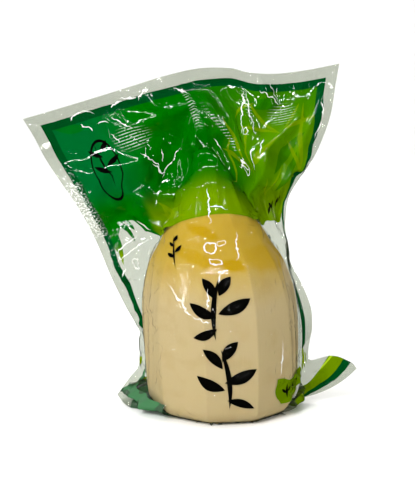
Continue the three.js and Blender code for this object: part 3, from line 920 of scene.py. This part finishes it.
# %% Sealed edges
def sealed_edges(tree, s, t, run):
    """1 past the clear margin, 1 past the frame, and the distance from the foot where it has a band."""
    right = node(tree, "Math.GREATER_THAN", s, 0.0)
    left = node(tree, "Math.SUBTRACT", 1.0, right)
    gap = [
        node(tree, "Math.MULTIPLY_ADD", right, there - here, here)
        for here, there in zip(FRAME_GAP_LEFT, FRAME_GAP_RIGHT)]
    in_gap = node(tree, "Math.COMPARE", t, *gap)
    side = node(tree, "Math.SUBTRACT", HALF_WIDTH, node(tree, "Math.ABSOLUTE", s))
    from_side = node(tree, "Math.MULTIPLY_ADD", in_gap, FAR, side)
    from_top = node(tree, "Math.SUBTRACT", LENGTH, t)
    nearest = node(tree, "Math.MINIMUM", from_side, from_top)
    from_foot = node(tree, "Math.ADD", run, BAND_OFFSET)
    from_foot = node(tree, "Math.MULTIPLY_ADD", side, BAND_SLANT, from_foot)
    from_foot = node(tree, "Math.MULTIPLY_ADD", left, FAR, from_foot)
    middle = node(tree, "Math.GREATER_THAN", side, HALF_WIDTH - BAND_REACH)
    from_foot = node(tree, "Math.MULTIPLY_ADD", middle, FAR, from_foot)
    past = []
    for limit, thinning in ((SEAL_MARGIN, 0.0), (FRAME_INNER, BAND_THINNING)):
        inset = node(tree, "Math.MULTIPLY_ADD", side, thinning, from_foot)
        inset = node(tree, "Math.MINIMUM", inset, nearest)
        past.append(node(tree, "Math.GREATER_THAN", inset, limit))
    return *past, from_foot


# %% One ink over the last
def lay_ink(tree, sheet, shape, colour, strength=1.0):
    """Prints a shape over the sheet, which is the paint so far and how much ink there is."""
    paint = node(tree, "Mix", shape, sheet[0], colour, **COLOUR)
    shape = node(tree, "Math.MULTIPLY", shape, strength)
    return paint, node(tree, "Math.MAXIMUM", sheet[1], shape)


# %% The green field
def field_print(tree, s, t, past_frame):
    """Paint and ink of the field, whose hilly foot is drawn as a curve over the width."""
    across = node(tree, "Math.MULTIPLY_ADD", s, 0.5 / HALF_WIDTH, 0.5)
    foot_line = node(tree, "FloatCurve", {"Value": across})
    knots = foot_line.mapping.curves[0].points
    for number, (foot_s, foot_t) in enumerate(FIELD_FOOT):
        along = (foot_s + HALF_WIDTH) / (2 * HALF_WIDTH), (foot_t - FOOT_LOW) / FOOT_SPAN
        knot = knots[number] if number == 0 else knots.new(*along)
        knot.location = along
    foot_line.mapping.update()
    foot = node(tree, "Math.MULTIPLY_ADD", foot_line, FOOT_SPAN, FOOT_LOW)
    ink = node(tree, "Math.MULTIPLY", node(tree, "Math.GREATER_THAN", t, foot), past_frame)
    paint = INKS["emerald"]
    shades = (
        (GREEN_FROM, "Math.MAXIMUM", "green"), (LIME_FROM, "Math.MULTIPLY", "lime"),
        (LEMON_FROM, "Math.MULTIPLY", "lemon"))
    for (along_s, along_t), joined, colour in shades:
        share = node(tree, "MapRange", s, *along_s, **SMOOTH)
        share = node(tree, joined, share, node(tree, "MapRange", t, *along_t, **SMOOTH))
        paint = node(tree, "Mix", share, paint, INKS[colour], **COLOUR)
    return paint, ink


# %% Leaves over the field and below it
def leaf_print(tree, sheet, t, place, past_frame):
    """Lime and dark leaves on the field, and leaves that hang from its foot over the bare film."""
    paint, ink = sheet
    for shapes, share, colour in ((DEEP_LEAVES, 0.6, "green"), (LIME_LEAVES, 0.65, "leaf")):
        shown = node(tree, "Math.MULTIPLY", leaves(tree, place, shapes), share)
        paint = node(tree, "Mix", shown, paint, INKS[colour], **COLOUR)
    hanging = leaves(tree, place, HANGING_LEAVES + FIN_LEAVES)
    hanging = node(tree, "Math.MULTIPLY", hanging, past_frame)
    lower = node(tree, "MapRange", t, *HANGING_TURN, **SMOOTH)
    hang_paint = node(tree, "Mix", lower, INKS["deep"], INKS["leaf"], **COLOUR)
    paint = node(tree, "Mix", ink, hang_paint, paint, **COLOUR)
    return paint, node(tree, "Math.MAXIMUM", ink, hanging)


# %% The ear at the right and the small label
def low_print(tree, sheet, s, t, wobble, past_frame, from_foot):
    """Lime ink on the right ear with a pale midrib, and a label patch with an uneven edge above it."""
    steepness, offset, least, most = EAR_TOP
    slope = node(tree, "Math.MULTIPLY_ADD", s, steepness, offset)
    slope = node(tree, "Math.MAXIMUM", slope, least)
    slope = node(tree, "Math.MINIMUM", slope, most)
    ear = node(tree, "Math.GREATER_THAN", s, EAR_FROM)
    ear = node(tree, "Math.MULTIPLY", ear, past_frame)
    ear = node(tree, "Math.MULTIPLY", ear, node(tree, "Math.LESS_THAN", t, slope))
    nudge = node(tree, "Math.MULTIPLY_ADD", wobble, LABEL_WANDER, -LABEL_WANDER / 2)
    label = 1.0
    for along, (middle, half) in ((s, LABEL_S), (t, LABEL_T)):
        inside = node(tree, "Math.COMPARE", along, middle, node(tree, "Math.ADD", nudge, half))
        label = node(tree, "Math.MULTIPLY", label, inside)
    both = node(tree, "Math.MAXIMUM", ear, label)
    sheet = lay_ink(tree, sheet, both, INKS["patch"])
    midrib = node(tree, "Math.COMPARE", from_foot, *MIDRIB)
    midrib = node(tree, "Math.MULTIPLY", ear, midrib)
    return lay_ink(tree, sheet, midrib, INKS["midrib"])


# %% Folded-up foot at the left, and the black strokes
def last_inks(tree, sheet, s, t, place, wobble):
    """Film gathered at the left foot shows its frame ink in doubled layers; black is printed last."""
    gathered = node(tree, "Math.COMPARE", s, *GATHERED_S)
    low = node(tree, "Math.LESS_THAN", t, GATHERED_TOP)
    gathered = node(tree, "Math.MULTIPLY", gathered, low)
    doubled = node(tree, "Math.GREATER_THAN", wobble, 0.5)
    folded_paint = node(tree, "Mix", doubled, INKS["seal_green"], INKS["frame"], **COLOUR)
    sheet = lay_ink(tree, sheet, gathered, folded_paint, GATHERED_INK)
    black = leaves(tree, place, BRUSH_STROKES + SMALL_STROKES)
    ring = node(tree, "Math.COMPARE", from_middle(tree, place, OUTLINE), 1.0, OUTLINE_PEN)
    return lay_ink(tree, sheet, node(tree, "Math.MAXIMUM", black, ring), INKS["black"])


# %% [markdown]
# ## Painted glints, and air specks in the film
# Thin glints are painted in as matt white lines: along sharp creases, round the rims of small trapped bubbles
# and along the crests of the ribs embossed near the top seal. Specks of air sit in the side seal in one
# place.
# Bump alone turns dark at such thin lines, so they are drawn as matt white shapes. Noise shakes them a
# little, as no crease is straight.

# %% Painted glints and air specks: values
# The real ribs are 1.05 mm apart; they are drawn wider so that they show.
RIB_PITCH, RIB_HEIGHT, PLAIN_RIB_HEIGHT = 1.6, 0.06, 0.01
# Which part of the wave carries the painted glint along each rib crest and how white, and where noise breaks
# it up
RIB_GLINT_SHARE, RIB_GLINT_BREAKS = (0.5, 1.0, 0.0, 0.6), (0.36, 0.5)
RIB_PATCHES = [
    (-38, 223, 10, 6, 0, 1.0), (-0.5, 229, 11, 1.5, -88, 0.9), (14, 217, 14, 1.6, -54, 1.0),
    (36, 229, 10, 1.6, -72, 0.7), (57.5, 226, 8, 6, 0, 0.8)]
# Painted glints along creases: foot s and t, direction, length, half width, curve
PAINTED_CREASE_GLINTS = [
    (-78, 163.5, 20, 23, 0.34, 0.3), (-78, 158.5, 17, 31, 0.32, 0.3), (-80, 149.5, 35, 8, 0.3, 0.3),
    (-53, 157, 60, 6, 0.3, 0.3), (-27.5, 131, 305, 26, 0.34, -0.25), (-13, 110.5, 344, 10, 0.3, -0.3),
    (2.5, 134.5, 280, 5, 0.5, 0.3), (12.6, 160, 270, 18, 0.24, 0.2), (-3.8, 126.5, 264, 12, 0.28, 0.2),
    (40, 98, 263, 24, 0.4, 0.2), (1.2, 184, 268, 21, 0.42, -0.2), (1.2, 174, 348, 8, 0.4, 0.2),
    (-65, 243.5, 20, 8, 0.4, 0.3), (-58, 247, 330, 8, 0.36, 0.3), (-42, 244, 12, 9, 0.45, 0.3),
    (-33, 247.5, 340, 8, 0.4, 0.3), (-25, 243.5, 30, 9, 0.4, 0.3), (84, 212, 70, 10, 0.4, 0.4),
    (86, 223, 100, 8, 0.4, -0.4), (36, 240, 262, 24, 0.3, 0.1), (36.5, 240, 283, 24, 0.3, -0.1),
    (-61, 240, 310, 8, 0.4, 0.4), (-44, 238, 320, 14, 0.3, 0.5), (-36, 216, 312, 14, 0.28, -0.3),
    (-25, 202, 38, 16, 0.26, 0.2), (-31, 208, 334, 10, 0.3, -0.4), (-3, 245, 320, 9, 0.28, 0.3),
    (20, 204, 350, 9, 0.3, 0.5), (35, 203, 50, 10, 0.28, -0.3), (45, 242, 327, 17, 0.28, 0.2),
    (52, 246, 300, 13, 0.28, -0.2), (-52, 238, 345, 7, 0.3, 0.5), (-47, 230, 300, 6, 0.3, 0.4),
    (-23, 214, 250, 7, 0.28, 0.4), (8, 214, 300, 8, 0.26, 0.4), (48, 214, 240, 9, 0.26, 0.3)]
# Painted glints round bubble rims: s and t of the middle, half length, half height, slope
PAINTED_BUBBLE_GLINTS = [
    (-0.8, 149.2, 3.4, 2.8, 20), (5.3, 151.6, 2.0, 1.9, 30), (1.6, 141.2, 3.6, 1.9, -14),
    (-65.5, 154.5, 2.0, 4.4, -15), (27, 203, 2.6, 2.0, 0), (36, 218, 1.6, 2.0, 0)]
# Width of the painted glint ring round each bubble
BUBBLE_GLINT_WIDTH = 0.09
# How far a painted crease glint is shaken in all, by a noise about 3 mm across
UNSTEADY, UNSTEADY_SCALE = 4.0, 0.3
# Specks of air are about 0.9 mm apart, where noise is high. They set in along s over the first two numbers,
# and the other two are their middle and half length along t.
FLECK_SCALE, SPECKLED = 1.1, (0.54, 0.60)
SPECKS_FROM, SPECKS_ALONG = (-78.0, -84.0), (190.0, 17.0)


# %% Painted glints and air specks
def embossed(tree, t, place, fleck):
    """Ribs as a wave, how strongly each place is ribbed, and painted glints on the rib crests, broken up by
    noise.
    """
    ribs = node(tree, "Math.MULTIPLY", t, 2 * np.pi / RIB_PITCH)
    ribs = node(tree, "Math.SINE", ribs)
    ribbed = 0.0
    for patch in RIB_PATCHES:
        ribbed = node(tree, "Math.MAXIMUM", ribbed, soft_oval(tree, place, patch))
    # Painted glints on the rib crests, kept where the noise is high
    rib_glint_kept = node(tree, "Math.MULTIPLY", ribbed, node(tree, "MapRange", fleck, *RIB_GLINT_BREAKS, **SMOOTH))
    rib_glint = node(tree, "MapRange", ribs, *RIB_GLINT_SHARE, **SMOOTH)
    return ribs, ribbed, node(tree, "Math.MULTIPLY", rib_glint, rib_glint_kept)


def specks_and_painted_glints(tree, s, t, place, fleck, rib_glint, with_crease_glints):
    """Air specks in the left seal and painted glints on the rib crests, and when asked, painted glints along
    creases and round bubble rims.
    """
    seal = node(tree, "MapRange", s, *SPECKS_FROM, **SMOOTH)
    seal = node(tree, "Math.MULTIPLY", seal, node(tree, "Math.COMPARE", t, *SPECKS_ALONG))
    specks = node(tree, "Math.MULTIPLY", seal, node(tree, "MapRange", fleck, *SPECKLED, **SMOOTH))
    white = node(tree, "Math.MAXIMUM", specks, rib_glint)
    if with_crease_glints:
        # Painted glints: matt white lines along creases and rings round bubble rims
        unsteady = {"Vector": place, "Scale": UNSTEADY_SCALE, "Detail": 1.0}
        unsteady = node(tree, "TexNoise", unsteady).outputs["Color"]
        shaken = node(tree, "VectorMath.MULTIPLY_ADD", unsteady, (UNSTEADY, UNSTEADY, 0), place)
        white = node(tree, "Math.MAXIMUM", white, leaves(tree, shaken, PAINTED_CREASE_GLINTS))
        for bubble in PAINTED_BUBBLE_GLINTS:
            rim = node(tree, "Math.COMPARE", from_middle(tree, shaken, bubble), 1.0, BUBBLE_GLINT_WIDTH)
            white = node(tree, "Math.MAXIMUM", white, rim)
    return white


# %% [markdown]
# ## Film surface
# The body of the film is a mix of see-through and matt: ink stops most light but not all of it, the sealed
# margin is a little milky, and bare film is clear. Over that lies one thin mirror coat, with a bump for ribs,
# hairline crinkles and a faint ripple. A glass shader would bend and darken what is behind such a thin
# sheet, so see-through film is made with a tinted transparent shader instead.

# %% Film values
CRINKLE_SPACING, CRINKLE_HALF_WIDTH, CRINKLE_HEIGHT = 10.0, 0.7, 0.30
MORE_CRINKLED, LESS_CRINKLED = (-68, 148, 24, 30, 0, 0.15), (-62, 208, 14, 22, 0, -0.4)
# Crinkles sway by this much, in waves about 8 mm long, and gather in patches about 14 mm across
SWAY, SWAY_SCALE = 9.0, 0.12
GATHER_SCALE, CRINKLED = 0.07, (0.45, 0.55)
# More of them near the top seal: from and to along t, and how much more
TOP_CRINKLED = (237.0, 242.0, 0.0, 0.06)
RIPPLE_LENGTH, RIPPLE_HEIGHT = 6.0, 0.09
# The last tint is the matt white of the air specks and of the painted glints
WINDOW_TINT, MARGIN_TINT, HAZE_TINT, SPECK_AND_GLINT_WHITE = "d9dcd5", "d7dad2", "c8ccc2", "fbfcf8"
INK_STOPS, WHITE_STOPS, MARGIN_STOPS = 0.80, 0.8, 0.10
# How much the coat mirrors head on, and how quickly that grows as the film turns away
MIRROR, MIRROR_POWER = 0.02, 7.0
# How much light bare film stops
FRONT_HAZE, BACK_HAZE = 0.012, 0.03


# %% Height of the film's skin, in millimetres
def skin_relief(tree, t, place, ribs, ribbed):
    """Ribs in their patches, hairline crinkles where noise gathers them, and a faint ripple everywhere."""
    rib_height = node(tree, "Math.MULTIPLY_ADD", ribbed, RIB_HEIGHT, PLAIN_RIB_HEIGHT)
    ribs = node(tree, "Math.MULTIPLY", ribs, rib_height)
    sway = node(tree, "TexNoise", {"Vector": place, "Scale": SWAY_SCALE, "Detail": 1.0}).outputs["Color"]
    swayed = node(tree, "VectorMath.MULTIPLY_ADD", sway, (SWAY, SWAY, 0), place)
    cells = {"Vector": swayed, "Scale": 1 / CRINKLE_SPACING}
    cells = node(tree, "TexVoronoi", cells, feature="DISTANCE_TO_EDGE")
    crinkle = node(tree, "MapRange", cells, CRINKLE_HALF_WIDTH / CRINKLE_SPACING, 0.0, **SMOOTH)
    where = node(tree, "TexNoise", {"Vector": place, "Scale": GATHER_SCALE, "Detail": 2.0})
    for patch in (MORE_CRINKLED, LESS_CRINKLED):
        where = node(tree, "Math.ADD", where, soft_oval(tree, place, patch))
    at_top = node(tree, "MapRange", t, *TOP_CRINKLED, **SMOOTH)
    where = node(tree, "Math.ADD", at_top, where)
    height = node(tree, "MapRange", where, *CRINKLED, 0.0, CRINKLE_HEIGHT, **SMOOTH)
    crinkle = node(tree, "Math.MULTIPLY", crinkle, height)
    ripple = node(tree, "TexNoise", {"Vector": place, "Scale": 1 / RIPPLE_LENGTH, "Detail": 0.0})
    relief = node(tree, "Math.ADD", ribs, crinkle)
    return node(tree, "Math.MULTIPLY_ADD", ripple, RIPPLE_HEIGHT, relief)


# %% Body of the film
def film_body(tree, sheet, past_margin, white, haze):
    """See-through where bare, mostly matt where inked, milky in the margin, and matt white for the air specks
    and the painted glints.
    """
    paint, ink = sheet
    milky = node(tree, "Math.SUBTRACT", 1.0, past_margin)
    bare = node(tree, "Mix", milky, WINDOW_TINT, MARGIN_TINT, **COLOUR)
    clear = node(tree, "BsdfTransparent", node(tree, "Mix", ink, bare, paint, **COLOUR))
    matt = node(tree, "Mix", ink, HAZE_TINT, paint, **COLOUR)
    # Matt white over the air specks and the painted glints
    matt = node(tree, "BsdfDiffuse", node(tree, "Mix", white, matt, SPECK_AND_GLINT_WHITE, **COLOUR))
    stopped = node(tree, "Math.MULTIPLY_ADD", milky, MARGIN_STOPS, haze)
    for shape, share in ((ink, INK_STOPS), (white, WHITE_STOPS)):
        part = node(tree, "Math.MULTIPLY", shape, share)
        stopped = node(tree, "Math.MAXIMUM", stopped, part)
    return node(tree, "MixShader", stopped, clear, matt)


# %% Laminate material
def laminate(name, art, haze):
    """Laminate film; art turns on all print but the frame and field, and the painted crease and bubble
    glints; haze is how much bare film stops.
    """
    made = bpy.data.materials.new(name)
    made.use_nodes = True
    tree = made.node_tree
    tree.nodes.clear()
    s, t, place, wobble, run = sheet_places(tree)
    past_margin, past_frame, from_foot = sealed_edges(tree, s, t, run)
    band = node(tree, "Math.SUBTRACT", past_margin, past_frame)
    sheet = field_print(tree, s, t, past_frame)
    if art:
        sheet = leaf_print(tree, sheet, t, place, past_frame)
        sheet = low_print(tree, sheet, s, t, wobble, past_frame, from_foot)
    sheet = lay_ink(tree, sheet, band, INKS["frame"])
    if art:
        sheet = last_inks(tree, sheet, s, t, place, wobble)
    fleck = node(tree, "TexNoise", {"Vector": place, "Scale": FLECK_SCALE, "Detail": 1.0})
    ribs, ribbed, rib_glint = embossed(tree, t, place, fleck)
    # Air specks and painted glints; the crease and bubble glints only with art
    white = specks_and_painted_glints(tree, s, t, place, fleck, rib_glint, art)
    body = film_body(tree, sheet, past_margin, white, haze)
    bump = node(tree, "Bump", {"Height": skin_relief(tree, t, place, ribs, ribbed), "Distance": MM})
    gloss = node(tree, "BsdfGlossy", {"Normal": bump, "Roughness": 0.03})
    turned_away = node(tree, "LayerWeight", {"Blend": 0.5, "Normal": bump}).outputs["Facing"]
    turned_away = node(tree, "Math.POWER", turned_away, MIRROR_POWER)
    mirror = node(tree, "Math.MULTIPLY_ADD", turned_away, 1 - MIRROR, MIRROR)
    node(tree, "OutputMaterial", node(tree, "MixShader", mirror, body, gloss))
    print(name, len(tree.nodes), "nodes")
    return made


front_sheet.data.materials.append(laminate("glossy_printed_laminate", True, FRONT_HAZE))
back_sheet.data.materials.append(laminate("glossy_plain_laminate", False, BACK_HAZE))
